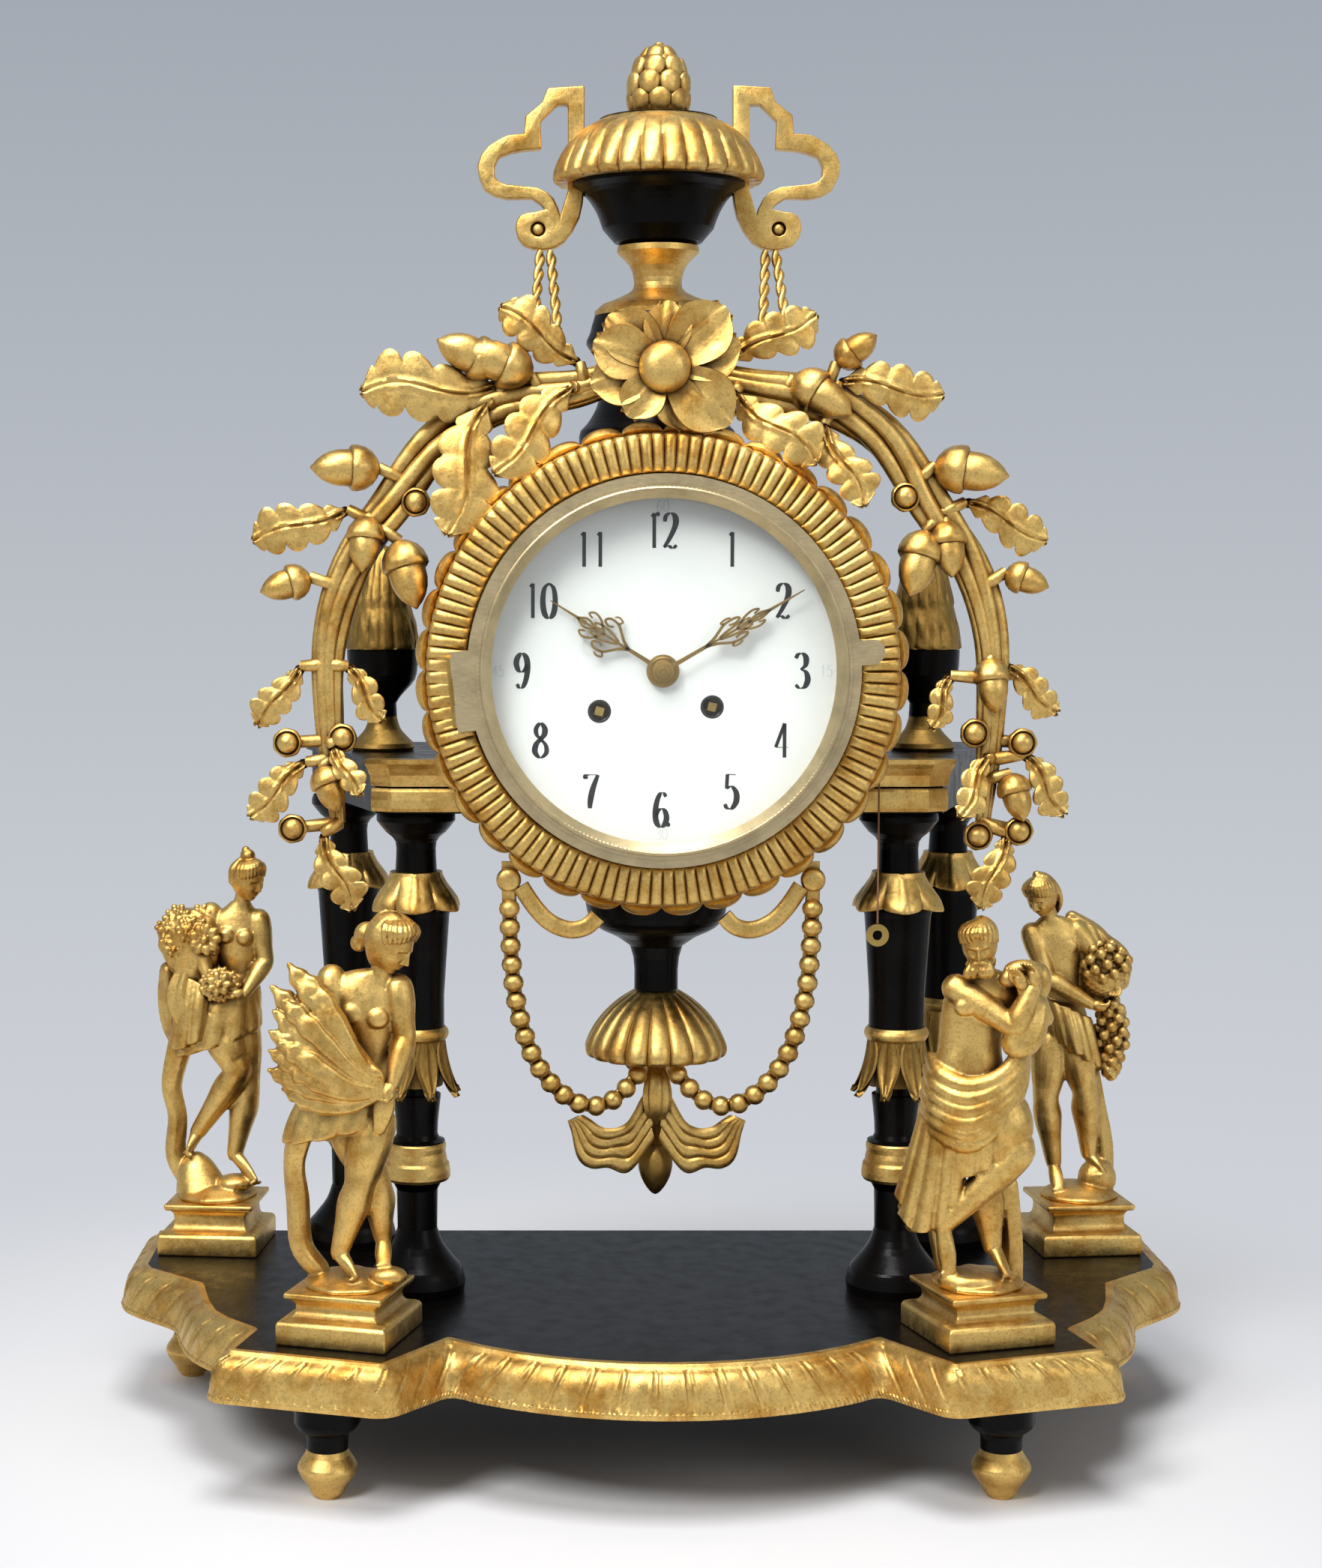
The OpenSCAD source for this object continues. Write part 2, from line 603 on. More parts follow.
// Bead swags: a chain of beads hung from a round knob that is nailed behind the leaf ring
swag_x = [63.5, 63.2, 63, 62.4, 61.2, 58.6, 54.8, 49.5, 42.2, 33.5, 24.5, 16.6, 10.6];
swag_z = [-87.5, -98.6, -108.4, -120.4, -133.6, -147, -159.4, -169.6, -178.4, -184.2, -185.4,
    -181.8, -175.6];
function swag_point(i) = let (t = i / (len(swag_x) - 1))
    [swag_x[i], mix(-24, 0, t * t), drop_z + swag_z[i]];
swag_path = curve([for (i = [0:len(swag_x) - 1]) swag_point(i)], 4);
bead_places = [for (i = [5:3:len(swag_path) - 2]) swag_path[i]];

module bead_swag(side) {
    n = len(bead_places) - 1;
    chain = concat([swag_path[0]], [for (i = [0:n]) for (t = [-0.5, 0, 0.45])
        let (q = bead_places[i], d = bead_places[min(i + 1, n)] - bead_places[max(i - 1, 0)])
        q + unit(d) * bead_r * t * 1.9]);
    radii = concat([2], [for (i = [0:n]) each [1.7, bead_r, 1.7]]);
    color(GILT) mirror([side < 0 ? 1 : 0, 0, 0]) {
        limb(chain, radii, 4);
        translate(swag_path[0] + [0, 2.4, 0]) rotate([90, 0, 0]) cylinder(r = 5, h = 5, $fn = 32);
        // lug that is nailed behind the leaf ring
        translate([59.5, drum_front + near, drop_z - 92]) cube([7, 1.7, 12]);
        translate([0, -22.2, drop_z]) rotate([90, 0, 0]) linear_extrude(3.4) polygon(loop);
    }
}

// Flat loop of ribbon beside the knob
loop_mid = curve([[58.5, -90], [52.5, -99], [46, -105.4], [38, -108.4], [31, -107],
    [26.4, -102.6]], 2);
function outset(p, i, w) = let (m = len(p) - 1, d = unit(p[min(i + 1, m)] - p[max(i - 1, 0)]))
    p[i] + w * [d[1], -d[0]];
loop = concat([for (i = [0:len(loop_mid) - 1]) outset(loop_mid, i, 3)],
    [for (i = [len(loop_mid) - 1:-1:0]) outset(loop_mid, i, -3)]);

module bead_swag_left() { bead_swag(-1); }
module bead_swag_right() { bead_swag(1); }

// Oak garlands

// Oak leaf from p along direction d in the front plane, with three lobes a side,
// spooned upwards, its tip moved forward by rise
module oak_leaf(p, angle, length, rise = 0) {
    steps = [0.02, 0.2, 0.33, 0.46, 0.58, 0.7, 0.81, 0.91, 1];
    wide = [0.03, 0.18, 0.09, 0.23, 0.11, 0.24, 0.11, 0.15, 0.03];
    d = [cos(angle), 0, sin(angle)];
    u = [sin(angle), 0, -cos(angle)];
    front = [0, -1, 0];
    loft([for (i = [0:len(steps) - 1]) let (t = steps[i], w = max(wide[i] * length, 0.9),
        c = p + d * length * t + front * (rise * t + 0.09 * length * sin(180 * t)))
        [c + front * 1.5, c + u * w + front * (w * 0.1), c - front * 0.9,
            c - u * w + front * (w * 0.1)]]);
}

// Acorn: a ribbed cup with a rim and a smooth pointed nut
module acorn(p, angle, length) {
    d = [cos(angle), -0.25, sin(angle)];
    r = 0.22 * length + 1.6;
    rows = [[0, 0.4], [0.36, 1.2], [0.42, 0.95], [0.74, 0.8], [1, 0.1]];
    limb([for (q = rows) p + d * length * q[0]], [for (q = rows) r * q[1]], 5);
}

// Empty acorn cup seen from its open front
module cup(p, r) {
    limb([for (t = [0, 0.5, 1]) p + [0, 3 - 6 * t, 0]], [r * 0.5, r, r * 0.82], 5, [0, 0, 1]);
}

stem = [[-16, -12, 457], [-36, -14, 451], [-66, -14, 446], [-92, -14, 431], [-112, -14, 403],
    [-129, -14, 378], [-138, -14, 348], [-138.5, -14, 312], [-135.5, -14, 270]];
stem_r = [5, 6.6, 7.4, 7.4, 7.2, 6.6, 6, 5, 2.6];

// The heights of the garland are given on the clock as built and follow the dial centre
module garland(side, leaves, acorns, cups) {
    path = curve([for (q = stem) [side * -q[0], q[1], q[2]]], 2);
    radii = curve(stem_r, 2);
    function on_stem(x, z) = let (d = [for (q = path) norm([q[0] - x, q[2] - z])],
        best = min(d), i = [for (k = [0:len(d) - 1]) if (d[k] == best) k][0]) path[i];
    color(GILT) translate([0, 0, head_z - 334.5]) {
        limb(path, [for (i = [0:len(path) - 1]) [radii[i], 0.6 * radii[i]]], 6);
        for (q = leaves) {
            a = [q[0], -15 + q[4] * 0.3, q[1]];
            limb([on_stem(q[0], q[1]), a], [2, 1.6], 3);
            oak_leaf(a, q[2], q[3], -q[4] * 0.7);
        }
        for (q = acorns) {
            bridge(on_stem(q[0], q[1]), [q[0], -17, q[1]], 2, 1.8, 4);
            acorn([q[0], -17, q[1]], q[2], q[3]);
        }
        for (q = cups) {
            bridge(on_stem(q[0], q[1]), [q[0], -15, q[1]], 2, 2, 4);
            cup([q[0], -17, q[1]], 6);
        }
    }
}

// Leaves are x, z, direction, length and how far they stand forward; acorns without the last
module garland_left() {
    garland(-1, [[-34, 461, 145, 40, -4], [-67, 452, -177, 57, -6], [-130, 401, -162, 42, 0],
        [-72, 445, -107, 57, -16], [-37, 451, -132, 48, -17], [-150, 336, -127, 31, 0],
        [-131, 336, -57, 27, -4], [-148, 296, -136, 33, -4], [-137, 303, -60, 23, -12],
        [-141, 266, -70, 34, -6]],
        [[-67, 459, 157, 29], [-54, 456, 159, 31], [-117, 418, 180, 29], [-122, 398, -95, 24],
            [-146, 373, -163, 22], [-109, 388, -75, 30], [-142, 294, -68, 21]],
        [[-102, 404], [-156, 304], [-133, 306], [-154, 268]]);
}

module garland_right() {
    garland(1, [[28, 462, 28, 40, -4], [73, 453, -7, 43, -6], [126, 404, -25, 38, 0],
        [67, 436, -66, 37, -16], [30, 449, -42, 44, -17], [121, 332, -110, 23, -4],
        [143, 336, -40, 30, 0], [137, 299, -117, 28, -12], [152, 299, -56, 30, -4],
        [145, 266, -109, 33, -6]],
        [[72, 461, 35, 20], [54, 455, -33, 29], [113, 419, -9, 31], [118, 396, -85, 24],
            [110, 392, -106, 29], [143, 375, -20, 19], [137, 339, -85, 23], [146, 291, -75, 21]],
        [[101, 406], [131, 308], [151, 304], [133, 265], [150, 267]]);
}

// Two twisted ropes a side from the foot of the handle down to the garland
module rope(a, b) {
    n = 8;
    d = unit(b - a);
    u = unit(cross([0, 1, 0], d));
    v = cross(d, u);
    loft([for (i = [0:n]) [for (j = [0:3]) let (t = 90 * j + 45, w = i * 50,
        x = 2.1 * cos(t), y = 1.2 * sin(t))
        mix(a, b, i / n) + u * (x * cos(w) - y * sin(w)) + v * (x * sin(w) + y * cos(w))]]);
}

module garland_ropes() {
    z = socle_z;
    color(GILT) for (side = [-1, 1]) for (x = [43, 53])
        rope([side * (x < 48 ? 45.8 : 50.2), urn_y - 1, z + 87.2], [side * x, 0, z + 53]);
}

// Open flower of nine spooned petals round a boss, on a stalk let into the socle
petal_tips = [[2, 27], [25, 24], [31, 10], [27, -23], [10, -25], [-15, -20], [-30, -7],
    [-29, 10], [-23, 21]];
module rosette() {
    z = socle_z + 34.5;
    y = -32;
    color(GILT) translate([0, y, z]) {
        for (q = petal_tips) {
            l = norm(q);
            d = [q[0] / l, 0, q[1] / l];
            u = [-d[2], 0, d[0]];
            loft([for (t = [[0.12, 0.1], [0.5, 0.29], [0.82, 0.24], [1, 0.05]])
                let (c = d * l * t[0] + [0, -4 * sin(150 * t[0]), 0], w = l * t[1])
                [c + [0, 0.9, 0], c + u * w + [0, -w * 0.2, 0], c + u * w + [0, -w * 0.2 - 1, 0],
                    c + [0, -0.9, 0], c - u * w + [0, -w * 0.2 - 1, 0],
                    c - u * w + [0, -w * 0.2, 0]]]);
        }
        translate([0, -4, 0]) scale([1, 0.8, 1]) sphere(10.5, $fn = 48);
        rotate([-90, 0, 0]) cylinder(r = 6, h = stalk_len(z) - y, $fn = 32);
    }
}
// The stalk stops short of the front of the socle's neck
function stalk_len(z) = urn_y - 24 - near - 0.6;

// Dial, hands and door

module dial_seat() {
    r = head_bore - near;
    color(BRASS) {
        turned_y([[38, drum_front + 2], [r, drum_front + 2], [r, -30], [dial_r + seat, -30],
            [dial_r + seat, -27.9], [dial_r - 1.5, -27.9], [dial_r - 1.5, drum_front + 0.4],
            [38, drum_front + 0.4]]);
        for (a = [45:90:315]) disc_y(2.5, drum_front + 1.8, front_plate_y, 43 * cos(a), 43 * sin(a));
    }
}

going_at = [20.5, -14.9];
strike_at = [-26, -16.7];

module dial() {
    color("#f1f0ec") difference() {
        disc_y(dial_r, -30, -28, 0, 0, 128);
        disc_y(2.7, -31, -27);
        for (q = [going_at, strike_at]) disc_y(3.9, -31, -27, q[0], q[1]);
    }
}

// Flat hand drawn upwards from its centre: a boss, a shaft with open scrolls and a leaf point
module hand_plan(length, boss, bore, scroll) {
    difference() {
        union() {
            circle(boss, $fn = 48);
            polygon([[-1.1, boss - 1], [1.1, boss - 1], [0.9, length * 0.6], [1.5, length * 0.72],
                [0.25, length], [-0.25, length], [-1.5, length * 0.72], [-0.9, length * 0.6]]);
            for (side = [-1, 1]) {
                translate([side * scroll, length * 0.42]) circle(scroll, $fn = 24);
                translate([side * scroll * 0.7, length * 0.56]) circle(scroll * 0.75, $fn = 24);
            }
        }
        circle(bore, $fn = 32);
        for (side = [-1, 1]) {
            translate([side * scroll * 1.05, length * 0.42]) circle(scroll * 0.66, $fn = 24);
            translate([side * scroll * 0.8, length * 0.56]) circle(scroll * 0.42, $fn = 24);
        }
    }
}

hour_angle = 58;      // turned left of upright
minute_angle = -60;
module hand_place(angle, y, t) {
    translate([0, y, head_z]) rotate([0, -angle, 0]) rotate([90, 0, 0]) linear_extrude(t)
        children();
}

hour_y = -32.6;
minute_y = -35;
hand_t = 0.8;
pipe_r = 2.3;
pin_r = 1.6;
module hour_hand() {
    color(BRASS) {
        hand_place(hour_angle, hour_y, hand_t) hand_plan(hour_len, 6.8, pin_r + 0.05, 3.3);
        turned_y([[pin_r + 0.05, hour_y - hand_t - 0.6], [4.5, hour_y - hand_t - 0.6],
            [4.5, hour_y - 0.2], [pipe_r, hour_y - 0.2], [pipe_r, -24], [pin_r + 0.05, -24]]);
    }
}

module minute_hand() {
    color(BRASS) {
        hand_place(minute_angle, minute_y, hand_t) hand_plan(minute_len, 4.6, 1, 2.6);
        turned_y([[0, minute_y - 2], [0.8, minute_y - 2], [0.8, minute_y - 1.5],
            [3, minute_y - 1.3], [3, minute_y - 0.4], [pin_r, minute_y - 0.2],
            [pin_r, back_plate_y + 2.4], [0, back_plate_y + 2.4]]);
    }
}

// The door turns about a pin at its left edge
hinge_x = -door_r - 5.2;
hinge_y = -42.2;
door_y = -44.5;       // front of the flat flange
knuckle_r = 1.25;
hinge_pin_r = 0.55;
leaf_w = 5;
leaf_l = 28;
leaf_back = reed_front + 1.6;
flange_t = 1.3;
knuckle_l = 10;

// Frame of the door: the dial centre, turned as the door sits
module door_frame() {
    translate([0, 0, head_z]) rotate([0, door_turn, 0]) children();
}

module pin_z(r, z0, z1) {
    translate([hinge_x, hinge_y, z0]) cylinder(r = r, h = z1 - z0, $fn = 32);
}

module bezel_door() {
    r = door_r;
    color(BRASS) door_frame() difference() {
        union() {
            rotate([-90, 0, 0]) turned([[r, -30.3], [r, door_y], [r - 3.7, door_y],
                [r - 3.7, door_y - 0.8], [r - 5.1, door_y - 0.8], [r - 5.3, door_y - 1.8],
                [r - 5.8, door_y - 2.1], [r - 6.3, door_y - 2.1], [r - 6.7, door_y - 1.4],
                [r - 9.8, -41.4], [r - 9.8, glass_front - 0.1], [r - 7.2, glass_front - 0.1],
                [r - 7.2, -36], [r - 4.8, -34], [r - 4.8, -30.3]]);
            difference() {
                translate([hinge_x - 0.5, door_y, -16.4]) cube([8.5, flange_t, 32.8]);
                rotate([90, 0, 0]) cylinder(r = r - 1, h = 100, center = true, $fn = 128);
            }
            translate([0, door_y, 0]) rotate([-90, 0, 0]) linear_extrude(flange_t) difference() {
                union() {
                    translate([r - 1, -5.1]) square([r / 14, 10.2]);
                    translate([r - 1 + r / 14, 0]) circle(5.1, $fn = 32);
                }
                circle(r - 0.5, $fn = 128);
            }
            for (side = [-1, 1]) pin_z(knuckle_r, side > 0 ? knuckle_l / 2 + near : -leaf_l / 2,
                side > 0 ? leaf_l / 2 : -knuckle_l / 2 - near);
        }
        pin_z(hinge_pin_r + seat, -leaf_l, leaf_l);
        pin_z(knuckle_r + near, -knuckle_l / 2 - near, knuckle_l / 2 + near);
    }
}

glass_front = -40.1;
module bezel_glass() {
    color("#dfe8ea") disc_y(door_r - 7.4, glass_front, glass_front + 1.4, 0, 0, 128);
}

// Leaf of the hinge on the ring, with the middle knuckle and the pin
module hinge_leaf() {
    color(BRASS) door_frame() {
        translate([hinge_x - leaf_w / 2, -40.6, -leaf_l / 2]) cube([leaf_w, leaf_back + 40.6, leaf_l]);
        pin_z(knuckle_r, -knuckle_l / 2, knuckle_l / 2);
        translate([hinge_x - 0.7, hinge_y, -knuckle_l / 2]) cube([1.4, 2, knuckle_l]);
        pin_z(hinge_pin_r, -leaf_l / 2, leaf_l / 2);
    }
}

// Movement behind the dial

front_plate_y = -8;
back_plate_y = 36;
wheel_plate_t = 2.5;
hammer_at = [36, 22];
bell_at = [0, -8];
cock_z = 45.5;
swing_y = 62;       // plane of the pendulum
lever_at = [38, -6];
lever_y = -12;
lever_t = 1.6;

module movement_frame() {
    color(BRASS) difference() {
        union() {
            for (y = [front_plate_y, back_plate_y]) disc_y(plate_r, y, y + wheel_plate_t);
            for (a = [30:60:330]) if (a != 330 && a != 210)
                disc_y(2.6, front_plate_y + 1, back_plate_y + 1, 44 * cos(a), 44 * sin(a));
            disc_y(2, back_plate_y + 1, 55.4, bell_at[0], bell_at[1]);
            translate([-4, back_plate_y + 2, head_z + cock_z - 6]) cube([8, 21, 8]);
            disc_y(1, back_plate_y + 20, swing_y + 3, 0, cock_z);
            disc_y(1.5, lever_y - 1, front_plate_y + 1, lever_at[0], lever_at[1]);
        }
        disc_y(pin_r + seat, -20, 50);
        for (q = [going_at, strike_at]) disc_y(3 + seat, -20, 50, q[0], q[1]);
        disc_y(1.5 + seat, -20, 50, hammer_at[0], hammer_at[1]);
    }
}

// Toothed spring barrel with its winding arbor, squared at the front
module barrel(at) {
    teeth = 60;
    rim = barrel_r + 2;
    plan = [for (i = [0:2 * teeth - 1]) let (a = 180 * i / teeth, r = i % 2 == 0 ? rim : rim - 1.6)
        [r * cos(a), r * sin(a)]];
    color(BRASS) {
        disc_y(barrel_r, 2, 30, at[0], at[1]);
        translate([at[0], 33, head_z + at[1]]) rotate([90, 0, 0]) linear_extrude(3.2) polygon(plan);
    }
    color(STEEL) {
        disc_y(3, front_plate_y - 0.5, back_plate_y + wheel_plate_t, at[0], at[1]);
        translate([at[0], front_plate_y - 11, head_z + at[1]]) rotate([0, 15, 0])
            cube([square_w, 21, square_w], center = true);
    }
}

module going_barrel() { barrel(going_at); }
module strike_barrel() { barrel(strike_at); }

module bell() {
    r = bell_r;
    color("#b59a5a") turned_y(concat([[r, 43]], curve([[r - 0.6, 47], [r - 6, 52.5], [r * 0.5, 54.4],
        [6, 55]], 4), [[2 + seat, 55], [2 + seat, 53.4]], curve([[6, 53.4], [r * 0.5, 52.8],
        [r - 7, 51], [r - 2.2, 46.6], [r - 1.6, 43]], 4)), bell_at[0], head_z + bell_at[1]);
}

module hammer() {
    color(STEEL) {
        disc_y(1.5, front_plate_y + 0.6, 46, hammer_at[0], hammer_at[1]);
        bar_y([hammer_at[0], hammer_at[1]], [bell_r + 5, -6], 1.3, 44, 46);
        disc_y(3.5, 42, 47, bell_r + 5, -6);
    }
}

// Flat bar between two points of the dial plane
module bar_y(a, b, w, y0, y1) {
    d = unit(b - a);
    s = [d[1], -d[0]] * w;
    translate([0, y1, head_z]) rotate([90, 0, 0]) linear_extrude(y1 - y0)
        polygon([a + s, b + s, b - s, a - s]);
}

// The rod hangs by an eye from the pin of the cock; a nut under the bob sets the rate
module pendulum() {
    bob_z = cock_z - pendulum_len;
    color(BRASS) {
        difference() {
            union() {
                disc_y(3, swing_y - 1.5, swing_y + 1.5, 0, cock_z);
                translate([0, swing_y, head_z + bob_z - 26.5]) cylinder(r = 1, h = pendulum_len + 24.5, $fn = 24);
            }
            disc_y(1.05, swing_y - 3, swing_y + 3, 0, cock_z);
        }
        translate([0, swing_y, 0]) turned_y([[0, -3], [bob_r * 0.5, -2.4], [bob_r - 1, -0.8],
            [bob_r, -0.4], [bob_r, 0.4], [bob_r - 1, 0.8], [bob_r * 0.5, 2.4], [0, 3]],
            0, head_z + bob_z);
        translate([0, swing_y, head_z + bob_z - bob_r - 5]) cylinder(r = 2.6, h = 2.6, $fn = 24);
    }
}

// Repeat work: a lever in the drum pulled by a thread with a ring
cord_x = 91;
cord_y = -20.6;
eye_z = -16.5;
cord_r = 0.4;

module repeat_lever() {
    color(STEEL) difference() {
        union() {
            disc_y(3.4, lever_y, lever_y + lever_t, lever_at[0], lever_at[1]);
            bar_y(lever_at, [cord_x, eye_z], 1.6, lever_y, lever_y + lever_t);
            disc_y(0.8, cord_y - 0.7, lever_y + lever_t, cord_x, eye_z);
        }
        disc_y(1.55, lever_y - 3, lever_y + 3, lever_at[0], lever_at[1]);
    }
}

cord_path = [[cord_x, cord_y, head_z - 18], [cord_x, cord_y, head_z - 40],
    [cord_x, cord_y, head_z - 70], [cord_x, cord_y, head_z - cord_drop]];

module repeat_cord() {
    color("#9a6a3f") limb(cord_path, [for (p = cord_path) cord_r], 8);
}

module cord_ring() {
    r = 4.7;
    hole = 2.1;
    color(BRASS) translate([cord_x, cord_y - 0.8, head_z - cord_drop - near - r]) rotate([-90, 0, 0])
        difference() {
            cylinder(r = r, h = 1.6, $fn = 48);
            translate([0, 0, -1]) cylinder(r = hole, h = 4, $fn = 32);
        }
}

// Figures of the seasons, gilt, each carved with its mound in one piece

module mound(r = 17, h = 4) {
    hull() {
        translate([0, 0, 0]) cylinder(r = r, h = 1.2, $fn = 10);
        translate([0, 1, 0]) cylinder(r = r * 0.7, h = h, $fn = 10);
    }
}

// Head with a calm, plain face looking along its front, tilted and turned
module head(p, r, turn = 0, nod = 0, lean = 0) {
    translate(p) rotate([0, lean, 0]) rotate([0, 0, turn]) rotate([nod, 0, 0]) {
        scale([0.8, 0.95, 1.1]) sphere(r, $fn = 10);
        hull() {
            ball([0, -r * 0.72, -r * 0.1], r * 0.16, 5);
            ball([0, -r * 0.9, -r * 0.3], r * 0.14, 5);
        }
        hull() {
            ball([0, -r * 0.45, -r * 0.85], r * 0.26, 5);
            ball([0, -r * 0.2, -r * 0.6], r * 0.4, 5);
        }
    }
}

module foot(heel, toe) {
    hull() {
        ball(heel, 3.2, 5);
        ball(toe, 2, 5);
    }
}

module hand(p, q) {
    hull() {
        ball(p, 2.6, 5);
        ball(q, 1.8, 5);
    }
}

// Summer: a girl leaning over a sheaf of wheat
module summer_figure() {
    color(GILT) on_stand(front_stand, -1, board_top + pedestal_h) rotate(-front_stand[2] * -1) {
        mound(18, 5);
        trunk([[2, 1, 77, 15, 11], [4, 0, 88, 12, 9], [9, -1, 98, 10.5, 8], [12, -3, 110, 12, 8.5],
            [13, -4, 120, 12.5, 7], [14, -5, 127, 6, 5]]);
        limb([[14, -5, 124], [15.5, -6, 132]], [4.2, 4], 5);
        head([17, -7, 139], 10.6, 50, -25, 8);
        hull() {
            ball([12, 1, 147], 6, 5);
            ball([7, 3, 141], 4.5, 5);
        }
        limb([[23, -4, 122], [26, -8, 110], [24.5, -10, 98], [21, -12, 89]], [5, 4.4, 3.8, 3], 5);
        limb([[2, -5, 124], [0, -11, 112], [6, -15, 100], [14, -14, 92]], [5, 4.2, 3.6, 2.8], 5);
        hand([21, -12, 88], [18, -14, 83]);
        hand([14, -14, 92], [17, -14, 86]);
        // skirt
        trunk([[-1, 0, 56, 22, 12], [-4, 0, 64, 19, 12.5], [0, 0, 76, 16, 12], [3, 0, 84, 13, 10],
            [8, -1, 95, 10.5, 8.5]]);
        // sheaf fanning to the upper left
        for (q = [[-22, 136, -14], [-28, 124, -10], [-30, 112, -12], [-28, 101, -9], [-28, 89, -12],
            [-24, 80, -8]])
            limb([[18, -15, 80], [0, -16, mix(80, q[1], 0.45)], [q[0], q[2], q[1]]],
                [2.4, 3.6, 2.2], 4);
        bridge([19, -14, 82], [24, -13, 68], 3.6, 3, 6);
        // legs, the left one crossed in front
        limb([[-2, 1, 62], [2, 0, 49], [0, 1, 36], [-4, 2, 19], [-3, 1, 7]],
            [7.5, 5.6, 5.4, 3.2, 3], 5);
        limb([[6, -4, 64], [15, -7, 50], [17, -5, 36], [17.5, -4, 20], [17, -4, 11]],
            [7.5, 5.6, 5, 3.2, 2.8], 5);
        foot([-3, 1, 5], [5, -9, 3]);
        foot([17, -3, 9], [15, -10, 4]);
        limb([[-20, 6, 2], [-22, 5, 22], [-21, 5, 42], [-18, 5, 60]], [5, 4.2, 4.6, 5], 5);
    }
}

// Spring: a girl with a basket of flowers on her arm
module spring_figure() {
    color(GILT) on_stand(rear_stand, -1, board_top + rear_h) rotate(rear_stand[2]) {
        mound(18, 6);
        trunk([[4, 1, 77, 14, 10.5], [8, 0, 89, 12.5, 9.5], [11, 0, 104, 9.5, 7.5],
            [12, -1, 116, 11.5, 8.5], [12, -2, 127, 12, 7], [12, -3, 134, 5, 4.5]]);
        limb([[12, -3, 131], [14, -4, 141]], [3.8, 3.6], 5);
        head([16, -5, 148], 9.6, 40, -18, 6);
        hull() {
            ball([13, 0, 154], 6, 5);
            ball([12, 1, 160], 3.4, 5);
        }
        limb([[22, -2, 130], [26, -5, 118], [24, -9, 108], [19, -12, 101]], [4.6, 4, 3.6, 2.8], 5);
        limb([[2, -2, 132], [-3, -6, 124], [-4, -9, 116]], [4.4, 4, 3.4], 5);
        hand([19, -12, 101], [14, -14, 100]);
        // basket of flowers and the bunch in her hand
        trunk([[-13, -5, 106, 7, 6], [-13, -5, 113, 11, 9], [-13, -5, 121, 13, 10],
            [-13, -5, 128, 9, 8], [-12, -5, 133, 4, 4]], 5);
        ball([4, -12, 102], 8, 5);
        ball([-2, -9, 112], 7, 5);
        ball([-21, -7, 126], 5, 5);
        ball([-5, -9, 127], 5, 5);
        // skirt
        trunk([[-2, 0, 72, 17, 11], [0, 0, 80, 16, 11.5], [5, 0, 92, 13, 9.5], [9, 0, 101, 10, 8]]);
        limb([[2, -3, 76], [12, -7, 59], [4, -3, 44], [-6, 1, 31], [-10, 2, 22]],
            [7.4, 5.4, 5, 3.6, 3], 5);
        limb([[8, 1, 76], [11, 0, 45], [12, 1, 33], [8, 1, 18], [9, 0, 9]],
            [7.6, 5.4, 5, 3.2, 3], 5);
        foot([-10, 2, 21], [-14, -2, 12]);
        foot([9, 0, 8], [18, -8, 6]);
        limb([[-15, 5, 4], [-20, 5, 26], [-20, 4, 50], [-13, 3, 74]], [6.5, 4.2, 4.4, 5.5], 5);
    }
}

// Winter: an old man wrapped in a cloak, arms folded over a bundle
module winter_figure() {
    color(GILT) on_stand(front_stand, 1, board_top + pedestal_h) rotate(-front_stand[2]) {
        mound(18, 6);
        trunk([[1, 1, 62, 16, 11], [1, 1, 76, 15.5, 11.5], [0, 0, 88, 15, 11], [2, 0, 100, 13.5, 9.5],
            [5, -1, 112, 14.5, 9.5], [5, -2, 122, 13, 7.5], [2, -3, 129, 6, 5]]);
        head([-2, -6, 140], 9.6, -12, -12, -6);
        hull() {
            ball([0, -11, 131], 4.6, 5);
            ball([3, -12, 124], 3, 5);
        }
        hull() {
            ball([-3, 0, 145], 7.4, 5);
            ball([-6, 2, 139], 6, 5);
        }
        limb([[-9, -3, 122], [-13, -9, 111], [-4, -14, 108], [10, -15, 114], [18, -14, 124]],
            [5.2, 5, 4.6, 4, 3.2], 5);
        limb([[20, -2, 124], [24, -7, 113], [19, -13, 106], [14, -15, 116]], [5, 4.6, 4.2, 3.2], 5);
        hand([18, -14, 124], [20, -14, 130]);
        hand([14, -15, 116], [12, -16, 122]);
        hull() {
            ball([18, -10, 130], 5, 5);
            ball([9, -12, 134], 3.4, 5);
        }
        // cloak round the hips and a long fall of cloth to the left
        limb([[16, -3, 92], [2, -12, 84], [-13, -4, 88]], [5, 5.5, 5], 7, [0, 0, 1]);
        limb([[-10, 4, 90], [-17, 6, 68], [-24, 6, 44], [-27, 5, 24]],
            [[8, 6], [9, 5], [9, 4], [8, 3]], 5);
        limb([[10, -6, 66], [13, -8, 53], [0, -7, 40], [-12, -6, 28], [-15, -5, 14]],
            [8.5, 6.4, 5.6, 4, 3], 5);
        limb([[3, 1, 66], [3, 0, 36], [5, 1, 14]], [9, 6, 3.4], 5);
        foot([-15, -5, 12], [-17, -8, 5]);
        foot([6, 1, 9], [11, -7, 5]);
        limb([[14, 6, 2], [15, 6, 24], [12, 5, 48]], [5, 4, 5], 5);
    }
}

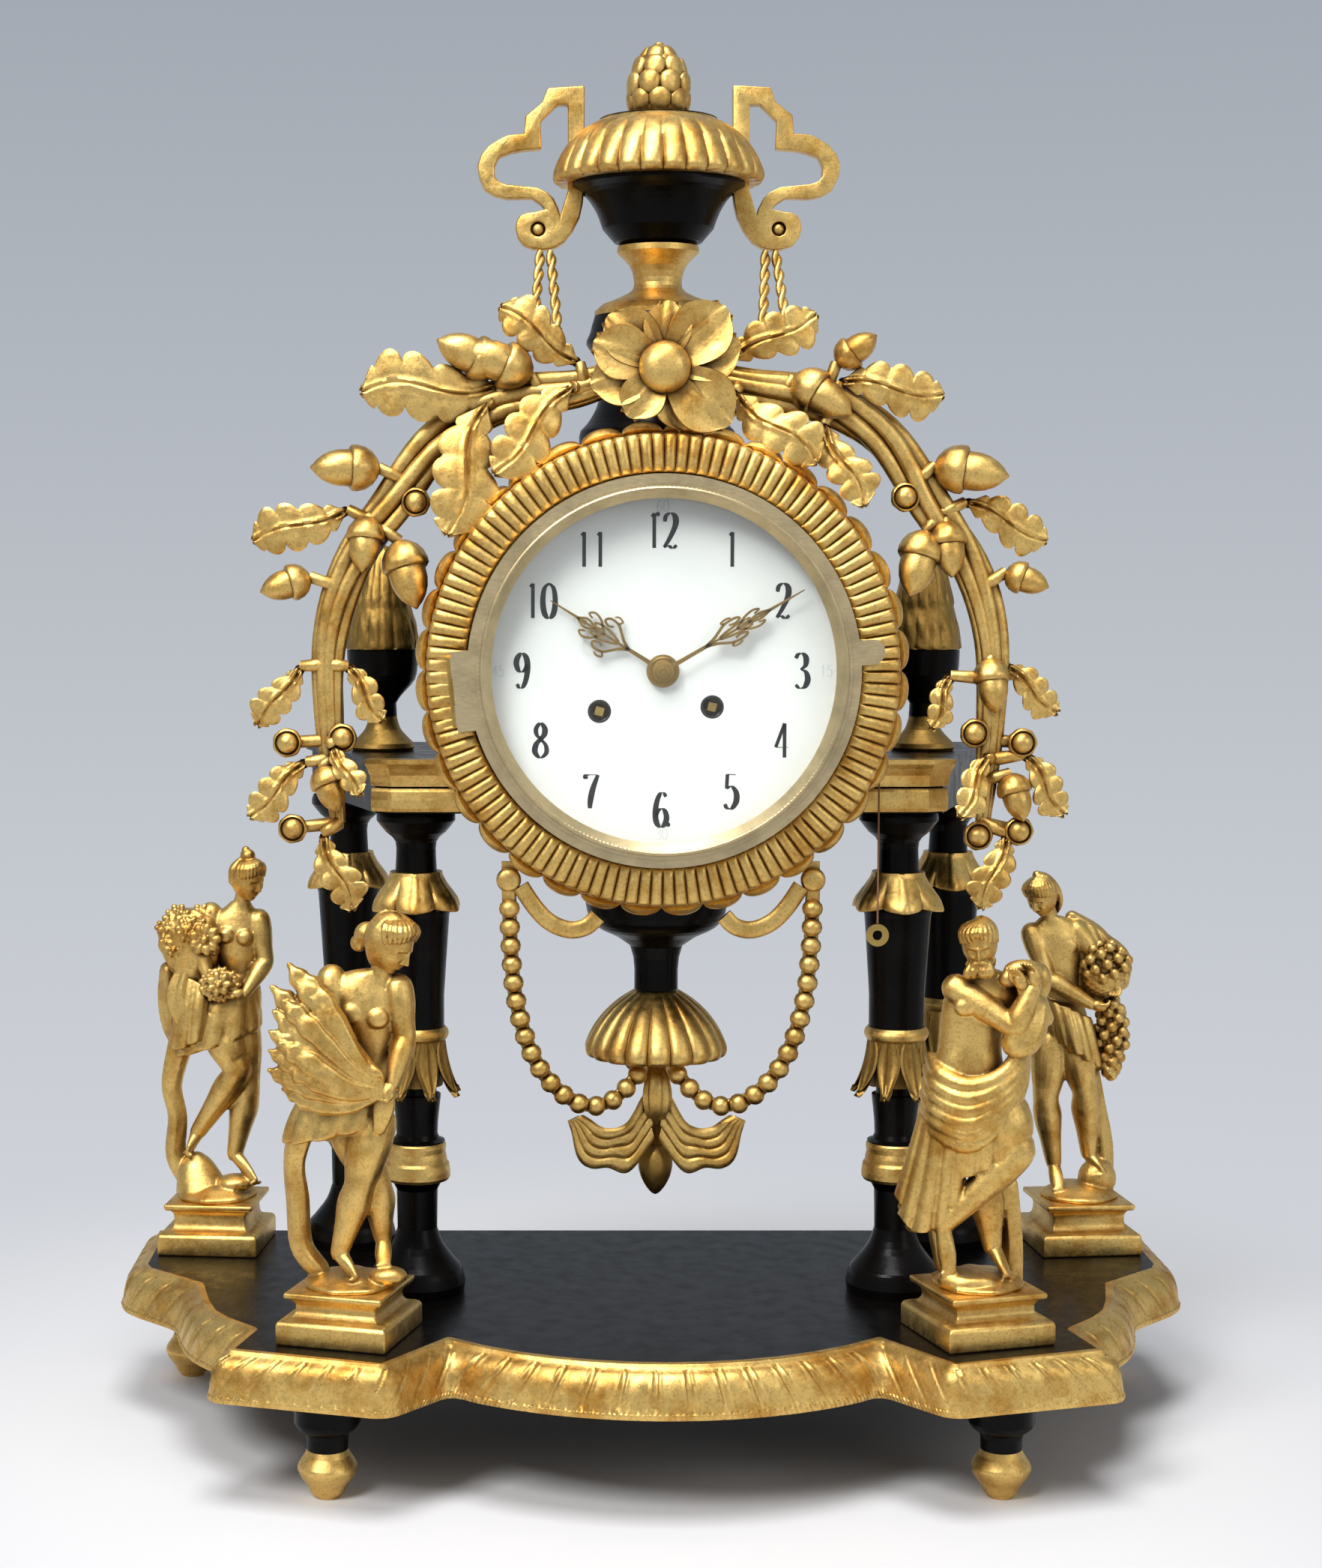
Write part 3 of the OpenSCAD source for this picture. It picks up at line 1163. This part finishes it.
// Autumn: a youth with grapes in a basket and a peaked cap
module autumn_figure() {
    color(GILT) on_stand(rear_stand, 1, board_top + rear_h) rotate(-rear_stand[2]) {
        mound(18, 6);
        trunk([[-6, 1, 78, 11.5, 9], [-9, 0, 90, 10, 8], [-11, -1, 100, 10, 7.5],
            [-12, -1, 114, 12, 8.5], [-12, -2, 125, 12, 7], [-13, -3, 131, 5, 4.5]]);
        limb([[-13, -3, 128], [-17, -4, 138]], [3.8, 3.6], 5);
        head([-19.5, -5, 143], 8.8, 25, -12, -6);
        hull() {
            ball([-20, -1, 149], 6.6, 5);
            ball([-21, 1, 157], 1.6, 5);
        }
        limb([[-21, -2, 123], [-21, -6, 111], [-13, -11, 102], [2, -13, 95]],
            [4.6, 4.2, 3.8, 2.8], 5);
        limb([[-3, -1, 126], [4, -4, 118], [10, -8, 110]], [4.6, 4.2, 3.2], 5);
        hand([2, -13, 95], [8, -14, 92]);
        hand([10, -8, 110], [12, -10, 104]);
        // basket with grapes, and the bunch that hangs from it
        trunk([[7, -8, 94, 6, 5], [8, -8, 101, 9.5, 7.5], [9, -8, 108, 10.5, 8], [9, -8, 114, 6, 5]], 5);
        for (q = [[4, -13, 111], [11, -14, 110], [16, -9, 111], [9, -8, 117]]) ball(q, 4.6, 6);
        trunk([[14, -6, 60, 2.5, 2.5], [14, -6, 68, 6, 5.5], [14, -6, 78, 7.5, 6.5],
            [13, -6, 88, 6, 5], [12, -6, 95, 4, 4]], 5);
        limb([[14, 0, 116], [20, 3, 104], [21, 4, 88], [17, 5, 72]], [[6, 4], [7, 4], [6, 3.5], [4, 3]], 5);
        // loincloth
        trunk([[-8, 0, 66, 13, 9], [-7, 0, 74, 13, 10], [-7, 0, 84, 12, 9.5], [-9, 0, 90, 10, 8.3]]);
        limb([[-13, 1, 72], [-15, 0, 57], [-12, 1, 39], [-9, 1, 15], [-9, 1, 8]],
            [7, 5.2, 4.6, 3.2, 3], 5);
        limb([[-4, -2, 72], [1, -4, 52], [3, -1, 34], [6, 2, 18]], [7.4, 5.2, 4.8, 3], 5);
        foot([-9, 1, 7], [-11, -8, 4]);
        foot([6, 2, 16], [9, -4, 6]);
        limb([[12, 6, 3], [13, 6, 26], [8, 5, 52], [2, 5, 74]], [6, 4.6, 4.6, 5.5], 5);
    }
}

base_board();
base_moulding();
foot_necks();
foot_toupies();
pedestals();
spring_figure();
summer_figure();
autumn_figure();
winter_figure();
column_front_left();
column_front_right();
column_rear_left();
column_rear_right();
column_leaf_collars();
column_petal_skirts();
column_rings();
entablature();
entablature_mouldings();
side_urn_bodies();
side_urn_feet();
side_urn_covers();
drum_case();
socle();
urn_foot();
urn_body();
urn_cover();
pine_cone();
urn_handle_left();
urn_handle_right();
garland_left();
garland_right();
garland_ropes();
rosette();
leaf_ring();
reeded_ring();
pendant_neck();
pendant_cup();
bead_swag_left();
bead_swag_right();
bow_ribbon();
bud_drop();
dial_seat();
dial();
hour_hand();
minute_hand();
bezel_door();
bezel_glass();
hinge_leaf();
movement_frame();
going_barrel();
strike_barrel();
pendulum();
bell();
hammer();
repeat_lever();
repeat_cord();
cord_ring();
